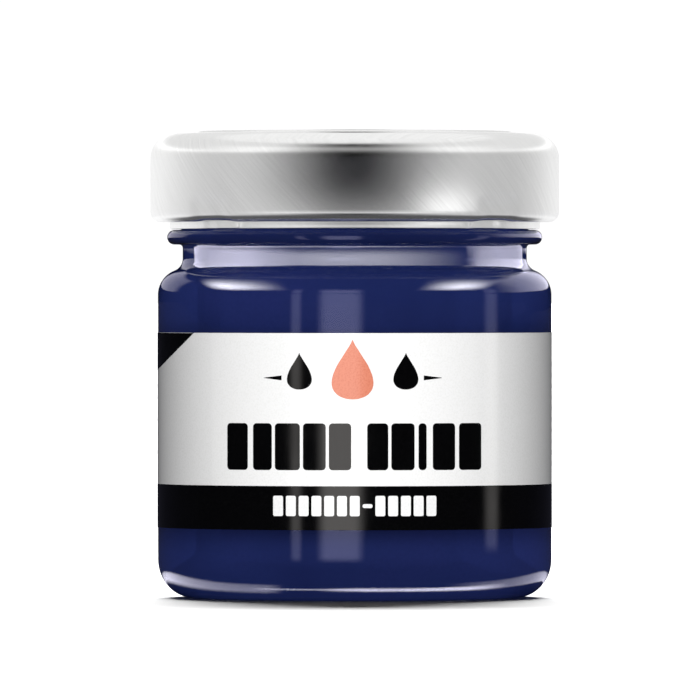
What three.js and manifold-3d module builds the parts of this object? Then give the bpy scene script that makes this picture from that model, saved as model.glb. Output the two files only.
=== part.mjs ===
// A small glass paint jar with a twist-off lug lid: the glass jar, the paint in it, the label
// wrapped round it, the tinplate lid with its four lugs, and the sealing ring inside the lid.
// Millimetres, +Z up. The origin is the middle of the base, and the front of the label faces -Y.

import * as THREE from "three";
import { mergeVertices } from "three/addons/utils/BufferGeometryUtils.js";
import Module from "manifold-3d";

// How finely the round pieces are cut
const FACETS = 48;
const FACET_ANGLE = (2 * Math.PI) / FACETS;

// Glass body, outside
const BODY_R = 22.24;
const BASE_CORNER_R = 4.0;
const BASE_CORNER_H = 4.3;
const PUSH_UP_H = 0.6;
const PUSH_UP_R = 10.6;
const BEARING_RING_R = 12.6;
const SHOULDER_Z = 34.22;
const SHOULDER_ARC_R = 2.94;
const NECK_R = 19.44;
const NECK_ARC_R = 1.47;

// Bead under the lid, and the finish that the lid screws on to
const BEAD_R = 21.19;
const BEAD_TIP_R = 0.82;
const BEAD_Z = 40.72;
const BEAD_FILLET_R = 0.4;
const RIM_Z = 51.43;
const RIM_CORNER_R = 0.9;

// Glass body, inside
const BORE_R = 17.2;
const INNER_R = 19.6;
const FLOOR_Z = 2.2;
const FLOOR_CORNER_R = 3.5;
const INNER_SHOULDER_Z = 34.53;
const INNER_SHOULDER_R = 2.0;
const INNER_NECK_R = 3.0;

// Four-start thread on the finish; the lid climbs THREAD_LEAD in one full turn
const STARTS = 4;
const THREAD_LEAD = 14.0;
const THREAD_ROOT_R = 19.04;
const THREAD_FOOT_R = 19.54;
const THREAD_FLANK_R = 20.3;
const THREAD_CREST_R = 20.45;
const THREAD_HALF_HEIGHT = 0.6;
const THREAD_FLANK_HALF_HEIGHT = 0.33;
const THREAD_Z = 44.83;
const THREAD_BEFORE_LUG = THREE.MathUtils.degToRad(8);
const THREAD_AFTER_LUG = THREE.MathUtils.degToRad(62);
const THREAD_RUN_OUT = THREE.MathUtils.degToRad(9);
const THREAD_BLUNT_END = THREE.MathUtils.degToRad(1.8);
const THREAD_STEPS = 14;

// Paint
const PAINT_GAP = 0.1;
const PAINT_LEVEL_Z = 43.63;

// Label
const LABEL_BOTTOM_Z = 7.98;
const LABEL_TOP_Z = 29.98;
const LABEL_GAP = 0.03;
const LABEL_THICKNESS = 0.1;
const LABEL_SLIT = 3.0;
const LABEL_SLIT_DEPTH = 4.0;

// Lid
const SHEET = 0.25;
const LID_R = 23.1;
const LID_SHOULDER_Z = 52.48;
const LID_CORNER_R = 2.85;
const STACKING_RING_Z = 52.73;
const STACKING_RING_R = 17.97;
const STACKING_RING_INNER_R = 15.2;
const STEP_WIDTH = 0.35;
const PANEL_Z = 52.33;
const CURL_R = 1.13;
const CURL_BOTTOM_Z = 42.43;
const CURL_TURN_DEG = 300;
const LIP_R = 20.92;
const LIP_INNER_R = 20.65;
const LIP_BOTTOM_Z = 41.63;

// Lugs, each folded inwards out of the curl
const LUG_INNER_R = 19.75;
const LUG_ROOT_R = 21.37;
const LUG_BOTTOM_Z = 42.58;
const LUG_TOP_Z = 43.88;
const LUG_NOSE = 0.4;
const LUG_HALF_ANGLE = THREE.MathUtils.degToRad(6);
const LUG_STEPS = 4;
const FIRST_LUG_ANGLE = Math.PI / STARTS;

// Sealing ring
const SEAL_INNER_R = 16.3;
const SEAL_OUTER_R = 20.0;
const SEAL_BOTTOM_Z = 51.49;
const SEAL_TOP_Z = 52.19;
const SEAL_CHAMFER = 0.3;

const wasm = await Module();
wasm.setup();

// ---- helpers ------------------------------------------------------------------------------

function point(radius, height) {
  return new THREE.Vector2(radius, height);
}

// Points on an arc from one angle to another, in degrees; a fall in angle runs clockwise.
function arc(centre, radiusX, radiusY, from, to, steps) {
  const start = THREE.MathUtils.degToRad(from);
  const end = THREE.MathUtils.degToRad(to);
  const curve = new THREE.EllipseCurve(centre.x, centre.y, radiusX, radiusY, start, end, to < from);
  return curve.getPoints(steps);
}

// A profile of radius and height turned round +Z. Angle 0 is the front, -Y.
function turned(profile) {
  return new THREE.LatheGeometry(profile, FACETS).rotateX(Math.PI / 2);
}

// A closed geometry as a solid that can be joined and cut.
function toSolid(geometry) {
  const bare = geometry.clone();
  bare.deleteAttribute("normal");
  bare.deleteAttribute("uv");
  const merged = mergeVertices(bare, 1e-4);
  const mesh = new wasm.Mesh({
    numProp: 3,
    vertProperties: merged.attributes.position.array,
    triVerts: Uint32Array.from(merged.index.array),
  });
  return new wasm.Manifold(mesh);
}

function toGeometry(solid) {
  const mesh = solid.getMesh();
  const geometry = new THREE.BufferGeometry();
  geometry.setAttribute("position", new THREE.BufferAttribute(mesh.vertProperties, 3));
  geometry.setIndex(new THREE.BufferAttribute(mesh.triVerts, 1));
  geometry.computeVertexNormals();
  return geometry;
}

// A section of radius and height swept round the axis from one angle to another. It climbs
// `lead` a turn and is at its own height at angle 0. `fade` gives, for an angle, the share that
// is left of the section's reach beyond `rootRadius`.
function swept(section, fromAngle, toAngle, steps, lead, rootRadius, fade) {
  const angle = toAngle - fromAngle;
  const bar = new THREE.ExtrudeGeometry(new THREE.Shape(section), {
    depth: angle,
    steps,
    bevelEnabled: false,
  });
  const vertices = bar.attributes.position;
  for (let i = 0; i < vertices.count; i++) {
    const along = toAngle - vertices.getZ(i);
    const reach = (vertices.getX(i) - rootRadius) * fade(along);
    const radius = vertices.getX(i) > rootRadius ? rootRadius + reach : vertices.getX(i);
    const height = vertices.getY(i) + (lead * along) / (2 * Math.PI);
    vertices.setXYZ(i, radius * Math.sin(along), -radius * Math.cos(along), height);
  }
  return bar;
}

function atLugAngles(geometry) {
  const copies = [];
  for (let i = 0; i < STARTS; i++) {
    const angle = FIRST_LUG_ANGLE + (i * 2 * Math.PI) / STARTS;
    copies.push(geometry.clone().rotateZ(angle));
  }
  return copies;
}

function part(name, geometry, look) {
  const mesh = new THREE.Mesh(geometry, new THREE.MeshStandardMaterial(look));
  mesh.name = name;
  return mesh;
}

// ---- glass jar ----------------------------------------------------------------------------

// The S of two arcs, convex below and concave above, that joins a wide wall to a narrow one.
function shoulderArcs(wideRadius, z, convexR, narrowRadius, concaveR, steps) {
  const convex = point(wideRadius - convexR, z);
  const across = narrowRadius + concaveR - convex.x;
  const rise = Math.sqrt((convexR + concaveR) ** 2 - across ** 2);
  const concave = point(narrowRadius + concaveR, z + rise);
  const turn = THREE.MathUtils.radToDeg(Math.atan2(rise, across));
  const lower = arc(convex, convexR, convexR, 0, turn, steps);
  const upper = arc(concave, concaveR, concaveR, 180 + turn, 180, steps);
  return [...lower, ...upper.slice(1)];
}

// The inside of the glass from the bore down to the middle of the floor, moved in by `inset`.
function interior(inset) {
  const shoulder = shoulderArcs(
    INNER_R - inset,
    INNER_SHOULDER_Z,
    INNER_SHOULDER_R - inset,
    BORE_R - inset,
    INNER_NECK_R + inset,
    3,
  );
  const cornerCentre = point(INNER_R - FLOOR_CORNER_R, FLOOR_Z + FLOOR_CORNER_R);
  const cornerR = FLOOR_CORNER_R - inset;
  const corner = arc(cornerCentre, cornerR, cornerR, 0, -90, 4);
  return [...shoulder.reverse(), ...corner, point(0, FLOOR_Z + inset)];
}

function base() {
  const corner = point(BODY_R - BASE_CORNER_R, BASE_CORNER_H);
  return [
    point(0, PUSH_UP_H),
    point(PUSH_UP_R, PUSH_UP_H),
    point(BEARING_RING_R, 0),
    ...arc(corner, BASE_CORNER_R, BASE_CORNER_H, -90, 0, 6),
  ];
}

function bead() {
  const tip = point(BEAD_R - BEAD_TIP_R, BEAD_Z);
  const underside = BEAD_Z - BEAD_TIP_R;
  const fillet = point(NECK_R + BEAD_FILLET_R, underside - BEAD_FILLET_R);
  return [
    ...arc(fillet, BEAD_FILLET_R, BEAD_FILLET_R, 180, 90, 2),
    ...arc(tip, BEAD_TIP_R, BEAD_TIP_R, -90, 90, 5),
    point(NECK_R, BEAD_Z + BEAD_TIP_R),
  ];
}

function rim() {
  const centreZ = RIM_Z - RIM_CORNER_R;
  const outer = point(NECK_R - RIM_CORNER_R, centreZ);
  const inner = point(BORE_R + RIM_CORNER_R, centreZ);
  return [
    ...arc(outer, RIM_CORNER_R, RIM_CORNER_R, 0, 90, 2),
    ...arc(inner, RIM_CORNER_R, RIM_CORNER_R, 90, 180, 2),
  ];
}

// One thread, centred on the lug that it holds down when the lid is closed.
function thread() {
  const section = [
    point(THREAD_ROOT_R, THREAD_Z - THREAD_HALF_HEIGHT),
    point(THREAD_FOOT_R, THREAD_Z - THREAD_HALF_HEIGHT),
    point(THREAD_FLANK_R, THREAD_Z - THREAD_FLANK_HALF_HEIGHT),
    point(THREAD_CREST_R, THREAD_Z),
    point(THREAD_FLANK_R, THREAD_Z + THREAD_FLANK_HALF_HEIGHT),
    point(THREAD_FOOT_R, THREAD_Z + THREAD_HALF_HEIGHT),
    point(THREAD_ROOT_R, THREAD_Z + THREAD_HALF_HEIGHT),
  ];
  const fade = (angle) => {
    const fromEnd = Math.min(angle + THREAD_BEFORE_LUG, THREAD_AFTER_LUG - angle);
    return THREE.MathUtils.smoothstep(fromEnd, -THREAD_BLUNT_END, THREAD_RUN_OUT);
  };
  return swept(
    section,
    -THREAD_BEFORE_LUG,
    THREAD_AFTER_LUG,
    THREAD_STEPS,
    THREAD_LEAD,
    THREAD_ROOT_R,
    fade,
  );
}

function jarGlass() {
  const shoulder = shoulderArcs(BODY_R, SHOULDER_Z, SHOULDER_ARC_R, NECK_R, NECK_ARC_R, 4);
  const profile = [...base(), ...shoulder, ...bead(), ...rim(), ...interior(0)];
  let solid = toSolid(turned(profile));
  for (const one of atLugAngles(thread())) {
    solid = solid.add(toSolid(one));
  }
  return part("jar_glass", toGeometry(solid), {
    color: 0xdfe6ee,
    roughness: 0.05,
    metalness: 0,
    transparent: true,
    opacity: 0.4,
  });
}

// ---- paint and label ----------------------------------------------------------------------

function paint() {
  const wall = interior(PAINT_GAP);
  const top = [point(0, PAINT_LEVEL_Z), point(BORE_R - PAINT_GAP, PAINT_LEVEL_Z)];
  return part("paint", turned([...top, ...wall].reverse()), {
    color: 0x1f2758,
    roughness: 0.2,
    metalness: 0,
  });
}

function label() {
  const inner = BODY_R + LABEL_GAP;
  const outer = inner + LABEL_THICKNESS;
  const height = LABEL_TOP_Z - LABEL_BOTTOM_Z;
  const sleeve = turned([
    point(inner, LABEL_BOTTOM_Z),
    point(outer, LABEL_BOTTOM_Z),
    point(outer, LABEL_TOP_Z),
    point(inner, LABEL_TOP_Z),
    point(inner, LABEL_BOTTOM_Z),
  ]);
  const slit = new THREE.BoxGeometry(LABEL_SLIT, LABEL_SLIT_DEPTH, 2 * height);
  slit.translate(0, inner, LABEL_BOTTOM_Z + height / 2);
  const solid = toSolid(sleeve).subtract(toSolid(slit));
  return part("label", toGeometry(solid), { color: 0xf4f4f4, roughness: 0.3, metalness: 0 });
}

// ---- lid ----------------------------------------------------------------------------------

// The top of the lid from its middle to its rounded corner, moved down into the sheet by `inset`.
function lidTop(inset) {
  const corner = point(LID_R - LID_CORNER_R, LID_SHOULDER_Z - LID_CORNER_R);
  const cornerR = LID_CORNER_R - inset;
  return [
    point(0, PANEL_Z - inset),
    point(STACKING_RING_INNER_R + inset, PANEL_Z - inset),
    point(STACKING_RING_INNER_R + STEP_WIDTH + inset, STACKING_RING_Z - inset),
    point(STACKING_RING_R - inset, STACKING_RING_Z - inset),
    point(STACKING_RING_R + STEP_WIDTH - inset, LID_SHOULDER_Z - inset),
    ...arc(corner, cornerR, cornerR, 90, 0, 4),
  ];
}

// The curl at the foot of the skirt, rolled inwards and up again.
function curl() {
  const centre = point(LID_R - CURL_R, CURL_BOTTOM_Z + CURL_R);
  const innerR = CURL_R - SHEET;
  return [
    ...arc(centre, CURL_R, CURL_R, 0, -CURL_TURN_DEG, 10),
    ...arc(centre, innerR, innerR, -CURL_TURN_DEG, 0, 8),
  ];
}

function lip() {
  const top = CURL_BOTTOM_Z + CURL_R;
  return turned([
    point(LIP_INNER_R, LIP_BOTTOM_Z),
    point(LIP_R, LIP_BOTTOM_Z),
    point(LIP_R, top),
    point(LIP_INNER_R, top),
    point(LIP_INNER_R, LIP_BOTTOM_Z),
  ]);
}

function lug() {
  const section = [
    point(LUG_ROOT_R, LUG_BOTTOM_Z),
    point(LUG_ROOT_R, LUG_TOP_Z),
    point(LUG_INNER_R + LUG_NOSE, LUG_TOP_Z),
    point(LUG_INNER_R, LUG_TOP_Z - LUG_NOSE),
    point(LUG_INNER_R, LUG_BOTTOM_Z + LUG_NOSE),
    point(LUG_INNER_R + LUG_NOSE, LUG_BOTTOM_Z),
  ];
  return swept(section, -LUG_HALF_ANGLE, LUG_HALF_ANGLE, LUG_STEPS, 0, LUG_ROOT_R, () => 1);
}

function lidShell() {
  const outside = lidTop(0);
  const inside = lidTop(SHEET).reverse();
  const profile = [...outside, ...curl(), ...inside].reverse();
  let solid = toSolid(turned(profile)).add(toSolid(lip()));
  for (const one of atLugAngles(lug())) {
    solid = solid.add(toSolid(one));
  }
  return part("lid_shell", toGeometry(solid), { color: 0xd4d4d2, roughness: 0.35, metalness: 1 });
}

function lidGasket() {
  const profile = [
    point(SEAL_INNER_R + SEAL_CHAMFER, SEAL_BOTTOM_Z),
    point(SEAL_OUTER_R - SEAL_CHAMFER, SEAL_BOTTOM_Z),
    point(SEAL_OUTER_R, SEAL_BOTTOM_Z + SEAL_CHAMFER),
    point(SEAL_OUTER_R, SEAL_TOP_Z),
    point(SEAL_INNER_R, SEAL_TOP_Z),
    point(SEAL_INNER_R, SEAL_BOTTOM_Z + SEAL_CHAMFER),
    point(SEAL_INNER_R + SEAL_CHAMFER, SEAL_BOTTOM_Z),
  ];
  return part("lid_gasket", turned(profile), { color: 0xe6e2d6, roughness: 0.6, metalness: 0 });
}

// ---- the assembly -------------------------------------------------------------------------

const jar = new THREE.Group();
jar.add(jarGlass(), paint(), label());

const lid = new THREE.Group();
lid.add(lidShell(), lidGasket());

const paintJar = new THREE.Group();
paintJar.add(jar, lid);

export default paintJar;
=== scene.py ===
# The paint jar's looks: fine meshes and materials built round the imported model, at its own size.
import math
import random

import bmesh
import bpy
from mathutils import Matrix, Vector


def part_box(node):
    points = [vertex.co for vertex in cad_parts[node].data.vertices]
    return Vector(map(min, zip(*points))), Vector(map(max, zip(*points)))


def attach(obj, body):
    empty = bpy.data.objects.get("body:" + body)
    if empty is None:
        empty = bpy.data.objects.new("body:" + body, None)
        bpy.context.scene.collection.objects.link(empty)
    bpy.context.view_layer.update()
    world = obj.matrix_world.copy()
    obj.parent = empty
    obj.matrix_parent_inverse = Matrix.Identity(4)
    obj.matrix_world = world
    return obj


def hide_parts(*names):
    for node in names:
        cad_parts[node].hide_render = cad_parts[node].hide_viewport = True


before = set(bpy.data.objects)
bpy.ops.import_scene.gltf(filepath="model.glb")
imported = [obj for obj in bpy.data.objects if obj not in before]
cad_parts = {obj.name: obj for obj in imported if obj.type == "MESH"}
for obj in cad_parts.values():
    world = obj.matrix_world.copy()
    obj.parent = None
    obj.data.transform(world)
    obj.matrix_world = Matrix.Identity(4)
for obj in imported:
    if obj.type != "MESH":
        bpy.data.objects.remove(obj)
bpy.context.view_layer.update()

# ---- sizes, in millimetres ----
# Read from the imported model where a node's box gives them, and otherwise the model's own values.

MM = 0.001


def node_box(node):
    """The lowest and highest corners of a CAD node, in millimetres."""
    low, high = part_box(node)
    return low / MM, high / MM


glass_high = node_box("jar_glass")[1]
paint_low, paint_high = node_box("paint")
label_low, label_high = node_box("label")
lid_low, lid_high = node_box("lid_shell")
seal_high = node_box("lid_gasket")[1]

BODY_R = glass_high.x
RIM_Z = glass_high.z
BASE_CORNER_R = 4.0
BASE_CORNER_H = 4.3
PUSH_UP_R = 10.6
PUSH_UP_H = 0.6
BEARING_RING_R = 12.6
SHOULDER_Z = 34.22
SHOULDER_ARC_R = 2.94
NECK_R = 19.44
NECK_ARC_R = 1.47
BEAD_R = 21.19
BEAD_TIP_R = 0.82
BEAD_Z = 40.72
BEAD_FILLET_R = 0.4
RIM_CORNER_R = 0.9

BORE_R = 17.2
INNER_R = 19.6
FLOOR_Z = paint_low.z - 0.1
FLOOR_CORNER_R = 3.5
INNER_SHOULDER_Z = 34.53
INNER_SHOULDER_R = 2.0
INNER_NECK_R = 3.0

STARTS = 4
THREAD_LEAD = 14.0
THREAD_CREST = 20.45 - NECK_R
THREAD_Z = 44.83
THREAD_BEFORE_LUG = math.radians(8)
THREAD_AFTER_LUG = math.radians(62)
THREAD_RUN_OUT = math.radians(9)
THREAD_FLAT = 0.14
THREAD_UNDER = 0.66
THREAD_OVER = 0.78

PAINT_LEVEL_Z = paint_high.z

LABEL_R = label_high.x
LABEL_INNER_R = BODY_R + 0.005
PRINT_R = LABEL_R - 0.06
LABEL_BOTTOM_Z = label_low.z
LABEL_TOP_Z = label_high.z
LABEL_SLIT = 3.0
LABEL_CORNER_R = 1.2
BAND_TOP_Z = 12.9

SHEET = 0.25
LID_R = lid_high.x
LID_TOP_Z = lid_high.z
LID_SHOULDER_Z = LID_TOP_Z - 0.25
LID_CORNER_R = 2.85
STACKING_RING_R = 17.97
STACKING_RING_INNER_R = 15.2
PANEL_Z = LID_TOP_Z - 0.4
CURL_R = 1.13
CURL_BOTTOM_Z = 42.43
CURL_TURN = 300
LIP_R = 20.92
LIP_INNER_R = 20.65
LIP_BOTTOM_Z = lid_low.z
LUG_REACH_R = 19.85
LUG_BOTTOM_Z = 42.58
LUG_TOP_Z = 43.88
LUG_DENT = 0.16
LUG_DENT_FULL_H = 1.9
LUG_DENT_H = 3.4
LUG_SHIFT = 0.5

SEAL_INNER_R = 16.3
SEAL_OUTER_R = seal_high.x
SEAL_TOP_Z = seal_high.z

# ---- meshes ----


def smoothstep(value, low, high):
    """0 up to low, 1 from high, and a smooth rise between."""
    share = min(max((value - low) / (high - low), 0.0), 1.0)
    return share * share * (3 - 2 * share)


def mix(a, b, share):
    return a + (b - a) * share


class Outline:
    """A cross-section of radius and height, drawn anticlockwise with the solid on its left.
    Each stretch carries the number of the material that its surface shows."""

    def __init__(self, closed=False):
        self.points = []
        self.looks = []
        self.closed = closed

    def to(self, radius, height, steps=1, look=0):
        """A straight stretch to a point, in equal steps."""
        if not self.points:
            self.points.append((radius, height))
            return self
        start = self.points[-1]
        for i in range(1, steps + 1):
            share = i / steps
            self.points.append((mix(start[0], radius, share), mix(start[1], height, share)))
            self.looks.append(look)
        return self

    def arc(self, centre, radii, start, end, steps, look=0):
        """An arc from one angle to another, in degrees from +radius towards +height."""
        for i in range(steps + 1):
            angle = math.radians(mix(start, end, i / steps))
            point = (centre[0] + radii[0] * math.cos(angle), centre[1] + radii[1] * math.sin(angle))
            if self.points and math.dist(point, self.points[-1]) < 1e-5:
                continue
            if self.points:
                self.looks.append(look)
            self.points.append(point)
        return self


def new_mesh(name, points, faces):
    """A mesh from points in millimetres."""
    mesh = bpy.data.meshes.new(name)
    mesh.from_pydata([(x * MM, y * MM, z * MM) for x, y, z in points], [], faces)
    return mesh


def new_object(name, data):
    thing = bpy.data.objects.new(name, data)
    bpy.context.scene.collection.objects.link(thing)
    return thing


def finished(name, points, faces, looks, face_looks, sharp_angle=38):
    """A piece in its materials, smooth but for its sharp edges."""
    mesh = new_mesh(name, points, faces)
    for look in looks:
        mesh.materials.append(look)
    mesh.polygons.foreach_set("material_index", face_looks)
    shape = bmesh.new()
    shape.from_mesh(mesh)
    limit = math.radians(sharp_angle)
    for face in shape.faces:
        face.smooth = True
    for edge in shape.edges:
        edge.smooth = len(edge.link_faces) == 2 and edge.calc_face_angle() < limit
    shape.to_mesh(mesh)
    shape.free()
    return new_object(name, mesh)


def on_axis(radius, theta, height):
    """A point at an angle round the axis; angle 0 is the front, -Y."""
    return (radius * math.sin(theta), -radius * math.cos(theta), height)


def revolved(name, outline, segments, looks, warp=None):
    """An outline turned round +Z. warp moves a point: (radius, height, angle) to (radius, height)."""
    points = []
    rows = []
    for radius, height in outline.points:
        if radius < 1e-6:
            rows.append([len(points)] * segments)
            points.append((0.0, 0.0, height))
            continue
        row = []
        for j in range(segments):
            theta = 2 * math.pi * j / segments
            r, z = warp(radius, height, theta) if warp else (radius, height)
            row.append(len(points))
            points.append(on_axis(r, theta, z))
        rows.append(row)
    pairs = list(zip(rows, rows[1:], outline.looks))
    if outline.closed:
        pairs.append((rows[-1], rows[0], outline.looks[-1]))
    faces = []
    face_looks = []
    for low, high, look in pairs:
        for j in range(segments):
            k = (j + 1) % segments
            corners = list(dict.fromkeys((low[j], low[k], high[k], high[j])))
            faces.append(corners)
            face_looks.append(look)
    return finished(name, points, faces, looks, face_looks)


def wrapped_sheet(columns, inner_r, outer_r):
    """Points and faces of a thin closed sheet wrapped round the jar. columns is a list of
    (arc length from the front, list of heights), each with the same number of heights."""
    points = []
    for radius in (inner_r, outer_r):
        for along, heights in columns:
            theta = along / LABEL_R
            points.extend(on_axis(radius, theta, height) for height in heights)
    rows = len(columns[0][1])
    layer = len(columns) * rows
    inner = [[i * rows + j for j in range(rows)] for i in range(len(columns))]
    outer = [[layer + v for v in column] for column in inner]
    faces = []
    for i in range(len(columns) - 1):
        for j in range(rows - 1):
            faces.append([outer[i][j], outer[i + 1][j], outer[i + 1][j + 1], outer[i][j + 1]])
            faces.append([inner[i][j + 1], inner[i + 1][j + 1], inner[i + 1][j], inner[i][j]])
        faces.append([inner[i][0], inner[i + 1][0], outer[i + 1][0], outer[i][0]])
        faces.append([outer[i][-1], outer[i + 1][-1], inner[i + 1][-1], inner[i][-1]])
    for j in range(rows - 1):
        faces.append([inner[0][j], outer[0][j], outer[0][j + 1], inner[0][j + 1]])
        faces.append([inner[-1][j + 1], outer[-1][j + 1], outer[-1][j], inner[-1][j]])
    return points, faces


# ---- materials ----


def wire(tree, slots, values):
    """Gives each slot its number, its colour or the output of another node."""
    for slot, value in zip(slots, values):
        if isinstance(value, tuple):
            slot.default_value = (*value, 1.0)
        elif isinstance(value, (int, float)):
            slot.default_value = value
        else:
            tree.links.new(value, slot)


def add_node(tree, kind, *values, **settings):
    """A new node with its own settings, and values for its slots in order."""
    node = tree.nodes.new("ShaderNode" + kind)
    for name, value in settings.items():
        setattr(node, name, value)
    wire(tree, node.inputs, values)
    return node


class Look:
    """A node material under construction, with a Principled shader at its end."""

    def __init__(self, name):
        self.material = bpy.data.materials.new(name)
        self.material.use_nodes = True
        self.tree = self.material.node_tree
        self.shader = self.tree.nodes["Principled BSDF"]
        self.place = add_node(self.tree, "TexCoord").outputs["Object"]

    def plain(self, **numbers):
        """Sets sockets of the shader that are the same all over; _ stands for a space."""
        for name, value in numbers.items():
            self.shader.inputs[name.replace("_", " ")].default_value = value
        return self

    def feed(self, socket, source):
        self.tree.links.new(source, self.shader.inputs[socket])
        return self

    def math(self, operation, *values):
        return add_node(self.tree, "Math", *values, operation=operation).outputs[0]

    def split(self, vector):
        return add_node(self.tree, "SeparateXYZ", vector).outputs

    def vector(self, x, y, z):
        return add_node(self.tree, "CombineXYZ", x, y, z).outputs[0]

    def noise(self, scale, detail=3.0, vector=None):
        node = add_node(self.tree, "TexNoise", vector or self.place)
        node.inputs["Scale"].default_value = scale
        node.inputs["Detail"].default_value = detail
        return node.outputs["Fac"]

    def spots(self, scale):
        """Distance from the nearest of a scatter of points."""
        node = add_node(self.tree, "TexVoronoi", self.place)
        node.inputs["Scale"].default_value = scale
        return node.outputs["Distance"]

    def ramp(self, source, *stops):
        """Stops are (position, colour or grey)."""
        node = add_node(self.tree, "ValToRGB", source)
        band = node.color_ramp
        while len(band.elements) < len(stops):
            band.elements.new(0.5)
        for element, (position, colour) in zip(band.elements, stops):
            element.position = position
            shades = colour if isinstance(colour, tuple) else (colour,) * 3
            element.color = (*shades, 1.0)
        return node.outputs["Color"]

    def ranged(self, source, low, high, new_low, new_high):
        return add_node(self.tree, "MapRange", source, low, high, new_low, new_high).outputs[0]

    def blend(self, share, first, second):
        """A colour between two colours."""
        node = add_node(self.tree, "Mix", data_type="RGBA")
        wire(self.tree, (node.inputs[0], node.inputs[6], node.inputs[7]), (share, first, second))
        return node.outputs[2]

    def bump(self, height, strength, distance):
        """Bumps of a depth in millimetres."""
        node = add_node(self.tree, "Bump")
        node.inputs["Strength"].default_value = strength
        node.inputs["Distance"].default_value = distance * MM
        self.tree.links.new(height, node.inputs["Height"])
        self.tree.links.new(node.outputs[0], self.shader.inputs["Normal"])
        return self

    def unrolled(self, radius):
        """Arc length round the jar and height, in metres."""
        x, y, z = self.split(self.place)
        theta = self.math("ARCTAN2", x, self.math("MULTIPLY", y, -1.0))
        return self.math("MULTIPLY", theta, radius * MM), z


def glass_look():
    look = Look("clear_glass")
    look.plain(Transmission_Weight=1.0, IOR=1.5)
    haze = look.noise(140.0, 2.0)
    look.feed("Base Color", look.ramp(haze, (0.3, (0.90, 0.93, 0.95)), (0.7, (0.96, 0.98, 0.985))))
    smears = look.noise(180.0, 3.0)
    look.feed("Roughness", look.ranged(smears, 0.45, 0.75, 0.0, 0.02))
    return look.bump(look.noise(60.0, 1.0), 0.12, 0.12).material


NAVY = (0.0132, 0.0218, 0.104)
DEEP_NAVY = (0.0108, 0.018, 0.09)
VIOLET_NAVY = (0.0154, 0.0226, 0.112)


def paint_colour(look):
    clouds = look.noise(55.0, 3.0)
    grains = look.noise(2600.0, 2.0)
    cloudy = look.ramp(clouds, (0.3, DEEP_NAVY), (0.5, NAVY), (0.72, VIOLET_NAVY))
    return look.blend(look.ranged(grains, 0.35, 0.7, 0.0, 0.35), cloudy, DEEP_NAVY)


def paint_behind_glass_look():
    """Paint wetting the glass: no gloss of its own, because glass and paint bend light alike."""
    look = Look("paint_behind_glass")
    look.plain(Specular_IOR_Level=0.0)
    look.feed("Base Color", paint_colour(look))
    look.feed("Roughness", look.ranged(look.noise(300.0), 0.3, 0.7, 0.45, 0.6))
    return look.material


def paint_surface_look():
    look = Look("wet_paint_surface")
    look.plain(IOR=1.47)
    look.feed("Base Color", paint_colour(look))
    look.feed("Roughness", look.ranged(look.noise(200.0), 0.3, 0.7, 0.03, 0.09))
    return look.bump(look.noise(110.0, 2.0), 0.35, 0.25).material


def printed_look(name, colour, worn, roughness=(0.1, 0.16)):
    """Ink or film under a thin gloss varnish: a fine press grain, and soft waves from the glue."""
    look = Look(name)
    grain = look.noise(5200.0, 2.0)
    look.feed("Base Color", look.blend(look.ranged(grain, 0.42, 0.68, 0.0, 1.0), colour, worn))
    look.feed("Roughness", look.ranged(look.noise(260.0, 3.0), 0.35, 0.7, *roughness))
    waves = look.math("ADD", look.noise(90.0, 1.0), look.math("MULTIPLY", grain, 0.02))
    return look.bump(waves, 0.12, 0.1).material


def brushed_lid_look():
    """Tinplate with fine slanting hairlines, from before the lid was drawn out of the sheet."""
    look = Look("brushed_tinplate")
    look.plain(Metallic=1.0)
    along, height = look.unrolled(LID_R)
    x, y, _ = look.split(look.place)
    facing = add_node(look.tree, "TexCoord").outputs["Normal"]
    level = look.math("ABSOLUTE", look.split(facing)[2])
    on_top = look.math("GREATER_THAN", level, 0.72)
    first = look.ranged(on_top, 0.0, 1.0, along, x)
    second = look.ranged(on_top, 0.0, 1.0, height, look.math("MULTIPLY", y, -1.0))
    across = look.math("ADD", first, second)
    down = look.math("SUBTRACT", first, second)
    fine = look.noise(1.0, 2.0, look.vector(look.math("MULTIPLY", across, 6500.0),
                                            look.math("MULTIPLY", down, 90.0), 0.0))
    broad = look.noise(1.0, 2.0, look.vector(look.math("MULTIPLY", across, 1500.0),
                                             look.math("MULTIPLY", down, 45.0), 4.0))
    lines = look.math("ADD", look.math("MULTIPLY", fine, 0.75), look.math("MULTIPLY", broad, 0.25))
    look.feed("Base Color", look.ramp(lines, (0.34, (0.795, 0.795, 0.79)), (0.62, (0.86, 0.86, 0.855))))
    smudges = look.noise(120.0, 3.0)
    rough = look.math("ADD", look.ranged(lines, 0.35, 0.65, 0.23, 0.2),
                      look.ranged(smudges, 0.4, 0.7, 0.0, 0.05))
    look.feed("Roughness", rough)
    return look.bump(lines, 0.06, 0.02).material


def lacquer_look():
    """The pale lacquer inside the lid."""
    look = Look("lid_lacquer")
    look.plain(IOR=1.5, Metallic=0.0)
    cloud = look.noise(160.0, 3.0)
    look.feed("Base Color", look.ramp(cloud, (0.3, (0.70, 0.69, 0.66)), (0.7, (0.80, 0.79, 0.76))))
    look.feed("Roughness", look.ranged(look.noise(500.0), 0.3, 0.7, 0.22, 0.34))
    return look.bump(look.noise(900.0, 2.0), 0.15, 0.03).material


def seal_look():
    """Poured sealing compound, matte and faintly pitted."""
    look = Look("sealing_compound")
    pits = look.spots(1500.0)
    cloud = look.noise(300.0, 4.0)
    look.feed("Base Color", look.ramp(cloud, (0.3, (0.66, 0.63, 0.56)), (0.7, (0.78, 0.75, 0.68))))
    look.feed("Roughness", look.ranged(look.noise(700.0), 0.3, 0.7, 0.5, 0.65))
    return look.bump(look.ranged(pits, 0.0, 0.25, 0.0, 1.0), 0.2, 0.04).material


# ---- glass jar ----


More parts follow.
